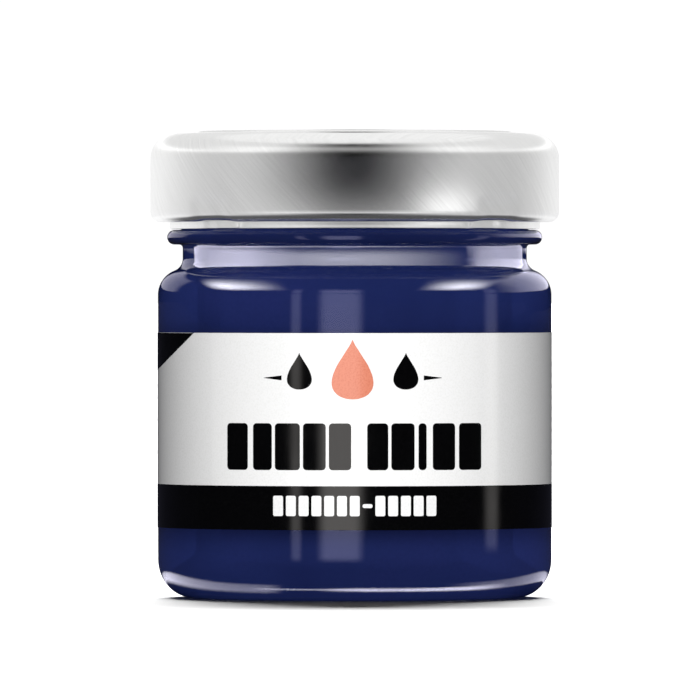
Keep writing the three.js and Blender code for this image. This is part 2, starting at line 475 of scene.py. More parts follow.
def shoulder(outline, wide_r, z, convex_r, narrow_r, concave_r, steps, upwards):
    """The S of two tangent arcs between a wide wall below and a narrow one above."""
    convex = (wide_r - convex_r, z)
    across = narrow_r + concave_r - convex[0]
    rise = math.sqrt((convex_r + concave_r) ** 2 - across ** 2)
    concave = (narrow_r + concave_r, z + rise)
    turn = math.degrees(math.atan2(rise, across))
    lower = (convex, (convex_r,) * 2, 0, turn)
    upper = (concave, (concave_r,) * 2, 180 + turn, 180)
    for centre, radii, start, end in ((lower, upper) if upwards else (upper, lower)):
        ends = (start, end) if upwards else (end, start)
        outline.arc(centre, radii, *ends, steps)


def glass_outline():
    outline = Outline()
    outline.to(0.0, PUSH_UP_H)
    outline.to(PUSH_UP_R - 2.0, PUSH_UP_H - 0.06, 8)
    outline.to(PUSH_UP_R, PUSH_UP_H - 0.2, 3)
    outline.to(BEARING_RING_R - 0.5, 0.1, 4)
    outline.to(BEARING_RING_R, 0.0, 2)
    base_corner = (BODY_R - BASE_CORNER_R, BASE_CORNER_H)
    outline.to(base_corner[0], 0.0, 14)
    outline.arc(base_corner, (BASE_CORNER_R, BASE_CORNER_H), -90, 0, 26)
    outline.to(BODY_R, SHOULDER_Z, 34)
    shoulder(outline, BODY_R, SHOULDER_Z, SHOULDER_ARC_R, NECK_R, NECK_ARC_R, 16, True)
    underside = BEAD_Z - BEAD_TIP_R
    fillet = (NECK_R + BEAD_FILLET_R, underside - BEAD_FILLET_R)
    outline.to(NECK_R, fillet[1], 12)
    outline.arc(fillet, (BEAD_FILLET_R,) * 2, 180, 90, 8)
    outline.arc((BEAD_R - BEAD_TIP_R, BEAD_Z), (BEAD_TIP_R,) * 2, -90, 90, 18)
    top_fillet = 0.35
    over_bead = BEAD_Z + BEAD_TIP_R + top_fillet
    outline.arc((NECK_R + top_fillet, over_bead), (top_fillet,) * 2, -90, -180, 6)
    rim_z = RIM_Z - RIM_CORNER_R
    outline.to(NECK_R, rim_z, 92)
    outline.arc((NECK_R - RIM_CORNER_R, rim_z), (RIM_CORNER_R,) * 2, 0, 90, 10)
    outline.arc((BORE_R + RIM_CORNER_R, rim_z), (RIM_CORNER_R,) * 2, 90, 180, 10)
    outline.to(BORE_R, INNER_SHOULDER_Z + 4.3, 10)
    shoulder(outline, INNER_R, INNER_SHOULDER_Z, INNER_SHOULDER_R, BORE_R, INNER_NECK_R, 10, False)
    floor_corner = (INNER_R - FLOOR_CORNER_R, FLOOR_Z + FLOOR_CORNER_R)
    outline.to(INNER_R, floor_corner[1], 14)
    outline.arc(floor_corner, (FLOOR_CORNER_R,) * 2, 0, -90, 12)
    outline.to(0.0, FLOOR_Z, 8)
    return outline


def thread_height(theta, z):
    """How far the four thread ribs stand out of the finish at a point."""
    for i in range(STARTS):
        lug = math.pi / STARTS + i * 2 * math.pi / STARTS
        along = (theta - lug + math.pi) % (2 * math.pi) - math.pi
        if not -THREAD_BEFORE_LUG < along < THREAD_AFTER_LUG:
            continue
        above = z - THREAD_Z - THREAD_LEAD * along / (2 * math.pi)
        from_end = min(along + THREAD_BEFORE_LUG, THREAD_AFTER_LUG - along)
        fade = smoothstep(from_end, 0.0, THREAD_RUN_OUT)
        rib = 1 - smoothstep(abs(above), THREAD_FLAT, THREAD_UNDER if above < 0 else THREAD_OVER)
        return THREAD_CREST * rib * fade
    return 0.0


SEAM_ANGLES = (math.pi / 2, 3 * math.pi / 2)
SEAM_HALF = math.radians(1.6)
SKIN_SUNK = 0.03
WAVE_H = 0.012
KNURLS = 120
KNURL_H = 0.1
GLASS_SEGMENTS = 240


def glass_warp(radius, z, theta):
    """Threads, mould seams, knurling under the base, and the slow waves of pressed glass."""
    if radius > NECK_R - 0.01 and BEAD_Z + BEAD_TIP_R + 0.3 < z < RIM_Z - RIM_CORNER_R:
        return radius + thread_height(theta, z), z
    if z < 1e-6 and BEARING_RING_R + 0.3 < radius < BODY_R - BASE_CORNER_R - 0.1:
        ridge = 0.5 + 0.5 * math.cos(KNURLS * theta)
        return radius, KNURL_H * ridge * smoothstep(radius, 12.9, 13.4)
    if radius <= INNER_R + 0.01 and z > FLOOR_Z - 0.01:
        return radius, z
    waves = math.sin(3 * theta + 0.21 * z) + 0.6 * math.sin(7 * theta - 0.33 * z + 1.0)
    waves += 0.5 * math.sin(5 * theta + 0.8 * z + 2.0)
    waves *= 1 - smoothstep(z, SHOULDER_Z - 5.0, SHOULDER_Z)
    seam = max(1 - abs(theta - angle) / SEAM_HALF for angle in SEAM_ANGLES)
    sunk = SKIN_SUNK + WAVE_H * waves - SKIN_SUNK * max(seam, 0.0)
    return radius - max(sunk, 0.0) * smoothstep(z, 0.3, 3.0), z


# ---- paint ----

WETTING = 0.04
MENISCUS_W = 1.5
MENISCUS_H = 0.55


def make_paint(behind_glass, surface):
    """The paint fills the glass to its inner skin, so no air shows between them, and climbs it."""
    outline = Outline()
    outline.to(0.0, FLOOR_Z - WETTING)
    corner = (INNER_R - FLOOR_CORNER_R, FLOOR_Z + FLOOR_CORNER_R)
    outline.to(corner[0], FLOOR_Z - WETTING, 8)
    outline.arc(corner, (FLOOR_CORNER_R + WETTING,) * 2, -90, 0, 14)
    outline.to(INNER_R + WETTING, INNER_SHOULDER_Z, 14)
    shoulder(outline, INNER_R + WETTING, INNER_SHOULDER_Z, INNER_SHOULDER_R + WETTING,
             BORE_R + WETTING, INNER_NECK_R - WETTING, 12, True)
    edge_r = BORE_R - 0.03
    edge_z = PAINT_LEVEL_Z - 0.02
    outline.to(BORE_R + WETTING, PAINT_LEVEL_Z - 0.05, 8)
    outline.to(edge_r, edge_z, 1, 1)
    outline.arc((edge_r - MENISCUS_W, edge_z), (MENISCUS_W, MENISCUS_H), 0, -90, 12, 1)
    outline.to(0.0, edge_z - MENISCUS_H, 12, 1)
    return revolved("paint_fill", outline, 144, [behind_glass, surface])


# ---- label ----

LABEL_HALF = math.pi * LABEL_R - LABEL_SLIT / 2
INK = 0.012


def at_front_x(x):
    """Arc length of the point that shows at x millimetres from the middle, seen from the front."""
    return LABEL_R * math.asin(x / LABEL_R)


def corner_inset(distance, radius):
    """How far a rounded corner cuts in at a distance from the end of an edge."""
    if distance >= radius:
        return 0.0
    return radius - math.sqrt(radius ** 2 - (radius - distance) ** 2)


def spread(low, high, count):
    return [mix(low, high, i / (count - 1)) for i in range(count)]


def wrap(name, low, high, inner_r, outer_r, look):
    """A stretch of the label's full length, between two heights, with the label's round corners."""
    steps = 8
    curve = [LABEL_CORNER_R * (1 - math.cos(math.pi / 2 * i / steps)) for i in range(steps)]
    rows = [LABEL_BOTTOM_Z + c for c in curve]
    rows.extend(spread(LABEL_BOTTOM_Z + LABEL_CORNER_R, LABEL_TOP_Z - LABEL_CORNER_R, 24))
    rows.extend(LABEL_TOP_Z - c for c in reversed(curve))
    rows = [low] + [z for z in rows if low + 1e-3 < z < high - 1e-3] + [high]
    columns = [(share * LABEL_HALF, rows) for share in spread(-1.0, 1.0, 321)]
    points, faces = wrapped_sheet(columns, inner_r, outer_r)
    shaped = []
    for x, y, z in points:
        edge = max(min(z - LABEL_BOTTOM_Z, LABEL_TOP_Z - z), 0.0)
        share = 1 - corner_inset(edge, LABEL_CORNER_R) / LABEL_HALF
        shaped.append(on_axis(math.hypot(x, y), math.atan2(x, -y) * share, z))
    return finished(name, shaped, faces, [look], [0] * len(faces), 60)


def column_positions(left, right, corner):
    """Arc lengths across a patch, close together in its rounded corners."""
    curve = [corner * (1 - math.cos(math.pi / 2 * i / 5)) for i in range(5)]
    inner = max(2, int((right - left - 2 * corner) / 0.6) + 2)
    places = [left + c for c in curve]
    places.extend(spread(left + corner, right - corner, inner))
    places.extend(right - c for c in reversed(curve))
    return places


def block_columns(left, right, bottom, top, corner):
    """A rounded block between two arc lengths."""
    columns = []
    for along in column_positions(left, right, corner):
        inset = corner_inset(min(along - left, right - along), corner)
        columns.append((along, [bottom + inset, top - inset]))
    return columns


def ink_piece(name, patches, layer, look):
    """Printed patches as one thin piece. layer 1 lies on the film and layer 2 on other ink."""
    outer = PRINT_R - (2 - layer) * INK
    points = []
    faces = []
    for columns in patches:
        new_points, new_faces = wrapped_sheet(columns, outer - 1.6 * INK, outer)
        faces.extend([[v + len(points) for v in face] for face in new_faces])
        points.extend(new_points)
    return finished(name, points, faces, [look], [0] * len(faces), 60)


TITLE_BOTTOM_Z = 14.68
TITLE_TOP_Z = 19.91
TITLE_CORNER_R = 0.42
TITLE_BLOCKS = ((-14.3, -12.0), (-11.4, -9.3), (-8.95, -6.15), (-5.8, -3.25), (-2.9, -0.4),
                (1.4, 3.75), (4.1, 6.7), (7.15, 8.05), (8.75, 11.25), (11.7, 14.2))
LINE_BOTTOM_Z = 9.55
LINE_TOP_Z = 11.82
LINE_HALF = 9.3
LINE_LETTERS = 13
LINE_DASH = 7
LINE_GAP_HALF = 0.16
LINE_CORNER_R = 0.2
DASH_HALF = 0.22
EMBLEM_Z = 25.88
SMALL_DROP = (4.1, 2.9)
LARGE_DROP = (6.7, 4.7)
RULE_WIDTH = 0.5
FLASH_LEFT = -LABEL_HALF
FLASH_START_X = -18.1
SMALL_PRINT_ALONG = 2.15 * LABEL_R
SMALL_PRINT_W = 26.0
SMALL_PRINT_Z = 14.9
SMALL_PRINT_PITCH = 1.25
SMALL_PRINT_H = 0.52
WORD_GAP = 0.45


def title_patches():
    return [block_columns(at_front_x(left), at_front_x(right), TITLE_BOTTOM_Z, TITLE_TOP_Z, TITLE_CORNER_R)
            for left, right in TITLE_BLOCKS]


def line_patches():
    """Thirteen small blocks, one of them only a dash."""
    pitch = 2 * LINE_HALF / LINE_LETTERS
    middle = (LINE_BOTTOM_Z + LINE_TOP_Z) / 2
    patches = []
    for i in range(LINE_LETTERS):
        left = at_front_x(-LINE_HALF + i * pitch + LINE_GAP_HALF)
        right = at_front_x(-LINE_HALF + (i + 1) * pitch - LINE_GAP_HALF)
        low, high = LINE_BOTTOM_Z, LINE_TOP_Z
        if i == LINE_DASH:
            low, high = middle - DASH_HALF, middle + DASH_HALF
        patches.append(block_columns(left, right, low, high, LINE_CORNER_R))
    return patches


def drop_columns(centre, base_z, size):
    """A drop with its point up, as columns across it. size is its height and width."""
    height, width = size
    turns = spread(0.0, math.pi, 181)
    reach = [math.sin(t) * math.sin(t / 2) ** 1.6 for t in turns]
    widest = max(range(len(turns)), key=lambda i: reach[i])
    half = width / 2 / reach[widest]

    def height_at(across, branch):
        return min(branch, key=lambda t: abs(half * math.sin(t) * math.sin(t / 2) ** 1.6 - across))

    columns = []
    for i in range(41):
        across = -width / 2 * math.cos(math.pi * i / 40)
        high = height_at(abs(across), turns[:widest + 1])
        low = height_at(abs(across), turns[widest:])
        heights = [base_z + height * (1 + math.cos(t)) / 2 for t in (low, high)]
        columns.append((centre + across, heights))
    return columns


def rule_columns(inner, outer):
    """A rule beside the emblem that tapers to a point at its outer end."""
    z = EMBLEM_Z - 0.9
    columns = []
    for along in spread(inner, outer, 14):
        half = RULE_WIDTH / 2 * (1 - abs(along - inner) / abs(outer - inner)) + 0.02
        columns.append((along, [z - half, z + half]))
    return columns if outer > inner else columns[::-1]


def flash_columns():
    """The black corner: a slant on the left of the front that runs on as a header round the side."""
    start = at_front_x(FLASH_START_X)
    columns = []
    for along in spread(FLASH_LEFT + 0.6, start - 0.01, 120):
        theta = max(along / LABEL_R, -math.pi / 2)
        bottom = LABEL_TOP_Z - (FLASH_START_X - LABEL_R * math.sin(theta))
        columns.append((along, [bottom, LABEL_TOP_Z - 0.03]))
    return columns


def small_print_patches(rng, centre, rows):
    """Lines of plain bars, as long as words, in place of small print. Every fifth line is short."""
    patches = []
    for row in range(rows):
        z = SMALL_PRINT_Z + row * SMALL_PRINT_PITCH
        along = centre - SMALL_PRINT_W / 2
        end = centre + SMALL_PRINT_W / 2
        if row % 5 == 0:
            end -= rng.uniform(0.2, 0.5) * SMALL_PRINT_W
        while along < end - 0.6:
            length = min(rng.uniform(0.9, 3.4), end - along)
            patches.append(block_columns(along, along + length, z, z + SMALL_PRINT_H, 0.16))
            along += length + WORD_GAP
    return patches


def make_label(film, black, white, coral, grey):
    film_r = PRINT_R - 2 * INK
    pieces = [wrap("label_film", LABEL_BOTTOM_Z + 0.05, LABEL_TOP_Z, LABEL_INNER_R, film_r, film)]
    band_r = PRINT_R - INK
    pieces.append(wrap("label_band", LABEL_BOTTOM_Z, BAND_TOP_Z, LABEL_INNER_R - 0.002, band_r, black))
    drops = [drop_columns(along, EMBLEM_Z - 2.2, SMALL_DROP) for along in (-6.3, 5.8)]
    rules = [rule_columns(-8.4, -10.6), rule_columns(7.9, 10.1)]
    blacks = [flash_columns(), *title_patches(), *drops, *rules]
    pieces.append(ink_piece("label_black_ink", blacks, 1, black))
    large_drop = drop_columns(-0.25, EMBLEM_Z - 3.3, LARGE_DROP)
    pieces.append(ink_piece("label_coral_drop", [large_drop], 1, coral))
    pieces.append(ink_piece("label_white_ink", line_patches(), 2, white))
    rng = random.Random(7)
    small = small_print_patches(rng, -SMALL_PRINT_ALONG, 8)
    small += small_print_patches(rng, SMALL_PRINT_ALONG, 10)
    pieces.append(ink_piece("label_small_print", small, 1, grey))
    return pieces


# ---- lid ----

LID_SEGMENTS = 288
LACQUER = 1
FULLY_PRESSED = 0.999


def lid_outline():
    """From the middle of the underside out, down inside the skirt, round the curl and the lip,
    and back over the outside."""
    outline = Outline()
    corner = (LID_R - LID_CORNER_R, LID_SHOULDER_Z - LID_CORNER_R)
    inner_corner_r = LID_CORNER_R - SHEET
    curl = (LID_R - CURL_R, CURL_BOTTOM_Z + CURL_R)
    curl_inner_r = CURL_R - SHEET
    step = 0.35
    outline.to(0.0, PANEL_Z - SHEET)
    outline.to(STACKING_RING_INNER_R + SHEET / 2, PANEL_Z - SHEET, 10, LACQUER)
    outline.to(STACKING_RING_INNER_R + step + SHEET / 2, LID_TOP_Z - SHEET, 3, LACQUER)
    outline.to(STACKING_RING_R - SHEET / 2, LID_TOP_Z - SHEET, 4, LACQUER)
    outline.to(STACKING_RING_R + step - SHEET / 2, LID_SHOULDER_Z - SHEET, 2, LACQUER)
    outline.arc(corner, (inner_corner_r,) * 2, 90, 0, 14, LACQUER)
    outline.to(LID_R - SHEET, curl[1] + 2.2, 10, LACQUER)
    outline.to(LID_R - SHEET, curl[1], 8, LACQUER)
    outline.arc(curl, (curl_inner_r,) * 2, 0, -CURL_TURN, 26, LACQUER)
    outline.arc(curl, (CURL_R,) * 2, -CURL_TURN, -192, 12)
    edge = (LIP_R - LIP_INNER_R) / 2
    outline.to(LIP_INNER_R, curl[1] - 0.2, 3)
    outline.to(LIP_INNER_R, LIP_BOTTOM_Z + edge, 5)
    outline.arc((LIP_INNER_R + edge, LIP_BOTTOM_Z + edge), (edge, edge), 180, 360, 6)
    meet = math.degrees(math.acos((curl[0] - LIP_R) / CURL_R))
    outline.to(LIP_R, curl[1] - CURL_R * math.sin(math.radians(meet)), 4)
    outline.arc(curl, (CURL_R,) * 2, -180 + meet, 0, 22)
    outline.to(LID_R, curl[1] + 2.2, 10)
    outline.to(LID_R, corner[1], 12)
    outline.arc(corner, (LID_CORNER_R,) * 2, 0, 90, 20)
    soft = 0.12
    outline.to(STACKING_RING_R + step, LID_SHOULDER_Z, 5)
    outline.to(STACKING_RING_R + step - soft, LID_SHOULDER_Z + 0.05, 1)
    outline.to(STACKING_RING_R + soft, LID_TOP_Z - 0.05, 2)
    outline.to(STACKING_RING_R - soft / 2, LID_TOP_Z, 1)
    outline.to(STACKING_RING_INNER_R + step + soft / 2, LID_TOP_Z, 6)
    outline.to(STACKING_RING_INNER_R + step - soft, LID_TOP_Z - 0.07, 1)
    outline.to(STACKING_RING_INNER_R + soft, PANEL_Z + 0.07, 2)
    outline.to(STACKING_RING_INNER_R - soft / 2, PANEL_Z, 1)
    outline.to(0.0, PANEL_Z, 12)
    return outline


def lug_share(theta):
    """How far the curl is pressed into a lug at an angle: 1 over a lug, 0 between lugs."""
    pitch = 2 * math.pi / STARTS
    off = abs(theta % pitch - pitch / 2)
    return 1 - smoothstep(off, math.radians(3.6), math.radians(8.6))


def lid_warp(radius, z, theta):
    """Presses the curl inwards and flat at each lug, and dents the skirt above it. A hair short of
    fully pressed, no face folds flat."""
    from_skirt = smoothstep(z, CURL_BOTTOM_Z + LUG_DENT_FULL_H, CURL_BOTTOM_Z + LUG_DENT_H)
    share = lug_share(theta) * (1 - from_skirt)
    if share <= 0:
        return radius, z
    curl = (LID_R - CURL_R, CURL_BOTTOM_Z + CURL_R)
    lug_z = (LUG_BOTTOM_Z + LUG_TOP_Z) / 2
    flat = (LUG_TOP_Z - LUG_BOTTOM_Z) / (2 * CURL_R)
    flattened = lug_z + (z - curl[1]) * flat if CURL_BOTTOM_Z < z <= curl[1] + CURL_R else z
    if radius > curl[0]:
        outwards = (radius - curl[0]) / CURL_R
        pressed = radius - mix(LUG_SHIFT, LUG_DENT, outwards)
        flattened = mix(flattened, z, outwards)
    else:
        inner = curl[0] - LUG_SHIFT
        pressed = inner - (curl[0] - radius) * (inner - LUG_REACH_R) / (curl[0] - LIP_INNER_R)
    return mix(radius, pressed, share), mix(z, flattened, share * FULLY_PRESSED)


def make_seal(look):
    """The sealing ring: two soft lobes with the groove that the rim has pressed between them."""
    outline = Outline(closed=True)
    groove_z = RIM_Z + 0.03
    rim_middle = (BORE_R + NECK_R) / 2
    groove_half = 0.5
    groove_edge = 0.75
    outline.to(SEAL_INNER_R, SEAL_TOP_Z)
    outline.to(SEAL_INNER_R, groove_z + 0.2, 3)
    outline.arc((SEAL_INNER_R + 0.55, groove_z + 0.2), (0.55, 0.32), 180, 270, 6)
    outline.to(rim_middle - groove_edge, groove_z + 0.02, 4)
    outline.to(rim_middle - groove_half, groove_z + 0.16, 3)
    outline.to(rim_middle + groove_half, groove_z + 0.16, 4)
    outline.to(rim_middle + groove_edge, groove_z + 0.02, 3)
    outline.to(SEAL_OUTER_R - 0.6, groove_z - 0.1, 4)
    outline.arc((SEAL_OUTER_R - 0.6, groove_z + 0.25), (0.6, 0.35), -90, 0, 6)
    outline.to(SEAL_OUTER_R, SEAL_TOP_Z, 3)
    outline.to(SEAL_INNER_R + 0.01, SEAL_TOP_Z, 8)
    return revolved("sealing_ring", outline, 144, [look])


# ---- the pieces ----

jar = revolved("glass_jar", glass_outline(), GLASS_SEGMENTS, [glass_look()], glass_warp)
fill = make_paint(paint_behind_glass_look(), paint_surface_look())
label_pieces = make_label(
    printed_look("label_film_white", (0.93, 0.93, 0.925), (0.88, 0.88, 0.87)),
    printed_look("black_ink", (0.0008, 0.0008, 0.0009), (0.0022, 0.0022, 0.0024)),
    printed_look("white_ink", (0.93, 0.93, 0.93), (0.86, 0.86, 0.86)),
    printed_look("coral_ink", (0.72, 0.243, 0.152), (0.66, 0.20, 0.12)),
    printed_look("grey_ink", (0.06, 0.06, 0.062), (0.09, 0.09, 0.092)),
)
lid_looks = [brushed_lid_look(), lacquer_look()]
lid = revolved("lid_tinplate", lid_outline(), LID_SEGMENTS, lid_looks, lid_warp)
seal = make_seal(seal_look())

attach(jar, "jar")
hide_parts("jar_glass")
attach(fill, "jar")
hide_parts("paint")
for piece in label_pieces:
    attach(piece, "jar")
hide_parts("label")
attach(lid, "lid")
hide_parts("lid_shell")
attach(seal, "lid_rising")
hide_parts("lid_gasket")

# ---- studio ----

CAMERA_DISTANCE = 1690.0
CAMERA_Z = 37.0
AIM = (-0.53, 27.98)
FRAME_WIDTH = 79.12
SENSOR = 36.0

camera_data = bpy.data.cameras.new("camera")
camera_data.sensor_width = SENSOR
camera_data.lens = SENSOR * CAMERA_DISTANCE / FRAME_WIDTH
camera_data.clip_start = 0.05
camera_data.clip_end = 20.0
camera = new_object("camera", camera_data)
camera.location = (AIM[0] * MM, -CAMERA_DISTANCE * MM, CAMERA_Z * MM)
look_down = math.atan((CAMERA_Z - AIM[1]) / CAMERA_DISTANCE)
camera.rotation_euler = (math.pi / 2 - look_down, 0.0, 0.0)
bpy.context.scene.camera = camera
bpy.context.scene.view_settings.view_transform = "Standard"


def group_of(name, *objects):
    group = bpy.data.collections.new(name)
    for each in objects:
        group.objects.link(each)
    return group


glass_group = group_of("glass_side", jar, fill)
label_group = group_of("label_side", *label_pieces)
lid_group = group_of("lid_side", lid, seal)
soft_lit_group = group_of("soft_lit", jar, fill, lid, seal, *label_pieces)
blockers = group_of("blockers", fill, lid, seal, *label_pieces)


def fading(tree, value, low, high, rising):
    """A smooth rise or fall between two values; a step where they are equal."""
    numbers = (low, high + 1e-4, 0.0, 1.0) if rising else (low, high + 1e-4, 1.0, 0.0)
    return add_node(tree, "MapRange", value, *numbers, interpolation_type="SMOOTHSTEP").outputs[0]


def joined(tree, operation, first, second):
    return add_node(tree, "Math", first, second, operation=operation).outputs[0]


TORN_SCALE = 25.0
CLOSE_TORN_SCALE = 180.0


def glow(name, radiance, tint, fades, torn, one_sided):
    """A see-through glow that fades towards the left, right, start and end of a card, over shares
    of its size. torn roughens the edges by a share of it."""
    material = bpy.data.materials.new(name)
    material.use_nodes = True
    tree = material.node_tree
    tree.nodes.clear()
    place = add_node(tree, "TexCoord").outputs
    shares = list(add_node(tree, "SeparateXYZ", place["UV"]).outputs[:2])
    if torn:
        for i in (0, 1):
            noise = add_node(tree, "TexNoise", place["Object"], float(i), noise_dimensions="4D")
            noise.inputs["Scale"].default_value = CLOSE_TORN_SCALE if one_sided else TORN_SCALE
            noise.inputs["Detail"].default_value = 2.5
            shift = joined(tree, "MULTIPLY", joined(tree, "SUBTRACT", noise.outputs["Fac"], 0.5), torn)
            shares[i] = joined(tree, "ADD", shares[i], shift)
    across, up = shares
    left, right, start, end = fades
    mask = fading(tree, across, 0.0, left, True)
    mask = joined(tree, "MULTIPLY", mask, fading(tree, across, 1 - right, 1.0, False))
    mask = joined(tree, "MULTIPLY", mask, fading(tree, up, 0.0, start, True))
    mask = joined(tree, "MULTIPLY", mask, fading(tree, up, 1 - end, 1.0, False))
    if one_sided:
        back = add_node(tree, "NewGeometry").outputs["Backfacing"]
        mask = joined(tree, "MULTIPLY", mask, joined(tree, "SUBTRACT", 1.0, back))
    emission = add_node(tree, "Emission", tint, joined(tree, "MULTIPLY", mask, radiance))
    clear = add_node(tree, "BsdfTransparent")
    both = add_node(tree, "AddShader", emission.outputs[0], clear.outputs[0])
    add_node(tree, "OutputMaterial", both.outputs[0])
    material.cycles.emission_sampling = "NONE"
    return material


WHITE = (1.0, 1.0, 1.0)
CARD_ROWS = 4


def card(name, azimuths, start, end, radiance, group, tint=WHITE, fades=(0.2,) * 4, torn=0.0,
         flares=(0.0, 0.0), one_sided=False, through=False):
    """A soft box bent round the jar: a line from start to end, each a radius and a height, swept
    between two azimuths in degrees. 0 is the camera's side and 90 the right. flares widen the two
    radii away from the camera's side. A one-sided card glows down if it is level and starts inside,
    and inwards if it is upright and starts at its top. Only its mirror image in one group of pieces
    is seen, or only the card itself through the glass. Of two cards in exactly one place only one
    shows, so most have a radius or height of their own."""
    steps = max(2, int(abs(azimuths[1] - azimuths[0]) / 5))
    points = []
    places = []
    for i in range(steps + 1):
        theta = math.radians(mix(*azimuths, i / steps))
        widening = (1 - math.cos(theta)) ** 2
        inner, outer = start[0] + flares[0] * widening, end[0] + flares[1] * widening
        for j in range(CARD_ROWS + 1):
            share = j / CARD_ROWS
            points.append(on_axis(mix(inner, outer, share), theta, mix(start[1], end[1], share)))
            places.append((i / steps, share))
    row = CARD_ROWS + 1
    corners = [i * row + j for i in range(steps) for j in range(CARD_ROWS)]
    faces = [[v, v + row, v + row + 1, v + 1] for v in corners]
    mesh = new_mesh(name, points, faces)
    layer = mesh.uv_layers.new(name="card")
    for loop in mesh.loops:
        layer.data[loop.index].uv = places[loop.vertex_index]
    mesh.materials.append(glow(name, radiance, tint, fades, torn, one_sided))
    box = new_object(name, mesh)
    box.visible_camera = False
    box.visible_diffuse = False
    box.visible_glossy = not through
    box.visible_transmission = through
    box.visible_shadow = False
    box.light_linking.receiver_collection = group


def mirrored(x, wall_r, z, tilt):
    """The wall point that shows at x and height z, and the camera's view mirrored by it. tilt is
    how far the wall faces up there."""
    turn = math.asin(x / wall_r)
    lean = math.radians(tilt)
    normal = Vector(on_axis(math.cos(lean), turn, math.sin(lean)))
    point = Vector(on_axis(wall_r, turn, z))
    ray = (point - Vector((AIM[0], -CAMERA_DISTANCE, CAMERA_Z))).normalized()
    return point, ray - 2 * ray.dot(normal) * normal


def azimuth_of(point):
    return math.degrees(math.atan2(point.x, -point.y))


def on_tent(x, wall_r, z, distance):
    """The azimuth and height where a view mirrored by an upright wall meets a cylinder round the
    axis."""
    point, ray = mirrored(x, wall_r, z, 0.0)
    a = ray.x ** 2 + ray.y ** 2
    b = point.x * ray.x + point.y * ray.y
    hit = point + ray * (-b + math.sqrt(b * b + a * (distance ** 2 - wall_r ** 2))) / a
    return azimuth_of(hit), hit.z


def on_ceiling(x, wall_r, z, height, tilt):
    """The azimuth and radius where a mirrored view meets a level plane."""
    point, ray = mirrored(x, wall_r, z, tilt)
    hit = point + ray * (height - point.z) / ray.z
    return azimuth_of(hit), math.hypot(hit.x, hit.y)


def upright_card(name, azimuths, radius, heights, *rest, **more):
    """A card at one radius, from one height to another."""
    card(name, azimuths, (radius, heights[0]), (radius, heights[1]), *rest, **more)


# Soft boxes mirrored by the glass and the label, set out by where on the wall they show
TENT_R = 60.0
LABEL_TENT_R = 61.0
BLUE_TINT = (0.62, 0.63, 1.0)
LAVENDER = (0.86, 0.84, 1.0)
PALE_LAVENDER = (0.95, 0.94, 1.0)
WARM = (1.0, 0.96, 0.93)


def wall_card(name, x, z, radiance, fades, tint, group, distance):
    """A card that shows between two x and two heights on the upright wall of the body."""
    azimuths = [on_tent(each, BODY_R, sum(z) / 2, distance)[0] for each in x]
    heights = [on_tent(sum(x) / 2, BODY_R, each, distance)[1] for each in z]
    upright_card(name, azimuths, distance, heights, radiance, group, tint, fades)


# The strips stop where the straight neck would mirror them, and go on above it for the shoulder
STRIP_TOP_Z = 38.32
STRIP_SHOULDER_Z = (39.55, 56.0)
for side, group, distance, tint, strength in (("glass", glass_group, TENT_R, BLUE_TINT, 2.6),
                                              ("label", label_group, LABEL_TENT_R, WARM, 2.3)):
    for strip, x, low_z, share, edge in (("main", (-4.5, 1.4), 3.2, 1.0, 0.25),
                                         ("thin", (-7.4, -5.7), 3.2, 0.62, 0.4),
                                         ("right", (14.2, 16.3), 4.6, 0.48, 0.4)):
        wall_card(strip + "_strip_" + side, x, (low_z, STRIP_TOP_Z), share * strength,
                  (edge, edge, 0.06, 0.0), tint, group, distance)
        if side == "glass":
            wall_card(strip + "_strip_top", x, STRIP_SHOULDER_Z, share * strength,
                      (edge, edge, 0.0, 0.7), tint, group, distance)

WINDOW_Z = 38.2
WINDOW_TILTS = (9.0, 42.0)


def shoulder_at(tilt):
    """Radius and height of the shoulder's point that faces up by an angle."""
    lean = math.radians(tilt)
    return BODY_R - SHOULDER_ARC_R * (1 - math.cos(lean)), SHOULDER_Z + SHOULDER_ARC_R * math.sin(lean)


def window(name, x, radiance, fades):
    """A level card close over the shoulder, below the bead, so that the bead doesn't mirror it. It
    shows between two x, where the shoulder faces up by WINDOW_TILTS."""
    tilt = sum(WINDOW_TILTS) / 2
    azimuths = [on_ceiling(each, *shoulder_at(tilt), WINDOW_Z, tilt)[0] for each in x]
    outer, inner = (on_ceiling(sum(x) / 2, *shoulder_at(each), WINDOW_Z, each)[1]
                    for each in WINDOW_TILTS)
    card(name, azimuths, (inner, WINDOW_Z), (outer, WINDOW_Z), radiance, glass_group, PALE_LAVENDER,
         fades, one_sided=True)


window("left_window", (-17.4, -7.6), 21.0, (0.32, 0.68, 0.36, 0.64))
window("right_window", (7.3, 16.1), 21.0, (0.5, 0.5, 0.36, 0.64))
upright_card("far_left_pane", (-154, -106), TENT_R, (38.9, 66.0), 0.8, glass_group, LAVENDER,
             (0.1, 0.2, 0.04, 0.2), 0.12)
upright_card("far_right_pane", (72, 157), TENT_R, (38.9, 84.0), 1.8, glass_group, LAVENDER,
             (0.35, 0.12, 0.03, 0.3), 0.12)

# The neck and its hollow foot mirror narrow upright cards close round them, under the bead
COLLAR_R = 20.3
COLLAR_STEP = 0.06
COLLAR_Z = 38.1
COLLAR_FOOT_FADE = 0.02


def collar_card(name, layer, x, top_z, radiance, fades, torn=0.0, tint=LAVENDER):
    """It shows between two x on the neck, and glows only inwards, so the shoulder doesn't mirror
    it. fades are for its left, right and top."""
    radius = COLLAR_R + layer * COLLAR_STEP
    azimuths = [on_tent(each, NECK_R, (COLLAR_Z + top_z) / 2, radius)[0] for each in x]
    upright_card(name, azimuths, radius, (top_z, COLLAR_Z), radiance, glass_group, tint,
                 (*fades, COLLAR_FOOT_FADE), torn, one_sided=True)


